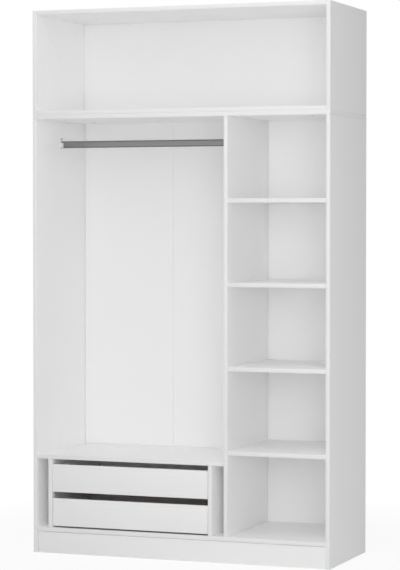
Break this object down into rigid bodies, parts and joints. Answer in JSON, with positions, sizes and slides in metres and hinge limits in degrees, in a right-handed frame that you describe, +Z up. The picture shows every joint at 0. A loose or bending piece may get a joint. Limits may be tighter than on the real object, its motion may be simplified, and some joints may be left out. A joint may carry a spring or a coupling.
{
  "type": "wardrobe",
  "caption": "Open wardrobe carcass with a top box, a hanging space with an oval rail, a shelf column and inset drawers on roller runners.",
  "frame": {"origin": "middle of the footprint, on the floor", "axes": "+Z up, the open front faces -Y, +X to the right of someone who stands before it"},
  "size_m": [1.35, 0.52, 2.35],
  "materials": {
    "board": "white melamine on chipboard, satin, edges banded in white",
    "hardboard": "hardboard, white foil inside, bare brown fibre outside",
    "tape": "thin white adhesive tape",
    "rail_steel": "drawn steel tube, satin plated",
    "plated_zinc": "die-cast zinc, bright plated",
    "zinc": "die-cast zinc, plated",
    "screw_steel": "zinc-plated steel",
    "beech": "raw beech",
    "runner_steel": "white powder coat on folded steel",
    "nylon": "natural nylon"
  },
  "bodies": {
    "carcass": {"side_panel_left": "board", "side_panel_right": "board", "divider_panel": "board", "bottom_panel": "board", "cabinet_top_panel": "board", "plinth_front": "board", "plinth_rear": "board", "plinth_brace": "board", "drawer_bay_top": "board", "drawer_post_left": "board", "drawer_post_right": "board", "shelf_1": "board", "shelf_2": "board", "shelf_3": "board", "shelf_4": "board", "back_panel_left": "hardboard", "back_panel_middle": "hardboard", "back_panel_right": "hardboard", "back_joint_tape": "tape", "top_box_side_left": "board", "top_box_side_right": "board", "top_box_bottom": "board", "top_box_top": "board", "top_box_back": "hardboard", "hanging_rail": "rail_steel", "rail_bracket_left": "plated_zinc", "rail_bracket_right": "plated_zinc", "rail_bracket_screws": "screw_steel", "cam_locks": "zinc", "cam_bolts": "screw_steel", "wooden_dowels": "beech", "housing_screws": "screw_steel", "box_connector_sleeves": "zinc", "box_connector_screws": "screw_steel", "runner_upper_left": "runner_steel", "runner_upper_right": "runner_steel", "runner_lower_left": "runner_steel", "runner_lower_right": "runner_steel", "runner_screws": "screw_steel"},
    "upper_drawer": {"upper_drawer_front": "board", "upper_drawer_side_left": "board", "upper_drawer_side_right": "board", "upper_drawer_back": "board", "upper_drawer_bottom": "hardboard", "upper_drawer_runner_left": "runner_steel", "upper_drawer_runner_right": "runner_steel", "upper_drawer_fasteners": "screw_steel"},
    "lower_drawer": {"lower_drawer_front": "board", "lower_drawer_side_left": "board", "lower_drawer_side_right": "board", "lower_drawer_back": "board", "lower_drawer_bottom": "hardboard", "lower_drawer_runner_left": "runner_steel", "lower_drawer_runner_right": "runner_steel", "lower_drawer_fasteners": "screw_steel"},
    "upper_front_roller_pair": {"upper_front_rollers": "nylon"},
    "lower_front_roller_pair": {"lower_front_rollers": "nylon"},
    "upper_rear_roller_pair": {"upper_drawer_rollers": "nylon"},
    "lower_rear_roller_pair": {"lower_drawer_rollers": "nylon"}
  },
  "joints": [
    {"name": "upper_drawer_slide", "type": "slide", "parent": "carcass", "child": "upper_drawer", "axis": [0, -1, 0], "range_m": [0, 0.33]},
    {"name": "lower_drawer_slide", "type": "slide", "parent": "carcass", "child": "lower_drawer", "axis": [0, -1, 0], "range_m": [0, 0.33]},
    {"name": "upper_front_rollers_turn", "type": "hinge", "parent": "carcass", "child": "upper_front_roller_pair", "pos_m": [-0.225, -0.224, 0.2874], "axis": [1, 0, 0], "range_deg": [0, 2201]},
    {"name": "upper_rear_rollers_turn", "type": "hinge", "parent": "upper_drawer", "child": "upper_rear_roller_pair", "pos_m": [-0.225, 0.198, 0.288], "axis": [1, 0, 0], "range_deg": [0, 2201]},
    {"name": "lower_front_rollers_turn", "type": "hinge", "parent": "carcass", "child": "lower_front_roller_pair", "pos_m": [-0.225, -0.224, 0.1394], "axis": [1, 0, 0], "range_deg": [0, 2201]},
    {"name": "lower_rear_rollers_turn", "type": "hinge", "parent": "lower_drawer", "child": "lower_rear_roller_pair", "pos_m": [-0.225, 0.198, 0.14], "axis": [1, 0, 0], "range_deg": [0, 2201]}
  ],
  "couplings": [
    {"joint": "upper_front_rollers_turn", "follows": "upper_drawer_slide", "rad_per_m": 116.28},
    {"joint": "upper_rear_rollers_turn", "follows": "upper_drawer_slide", "rad_per_m": 116.28},
    {"joint": "lower_front_rollers_turn", "follows": "lower_drawer_slide", "rad_per_m": 116.28},
    {"joint": "lower_rear_rollers_turn", "follows": "lower_drawer_slide", "rad_per_m": 116.28}
  ]
}
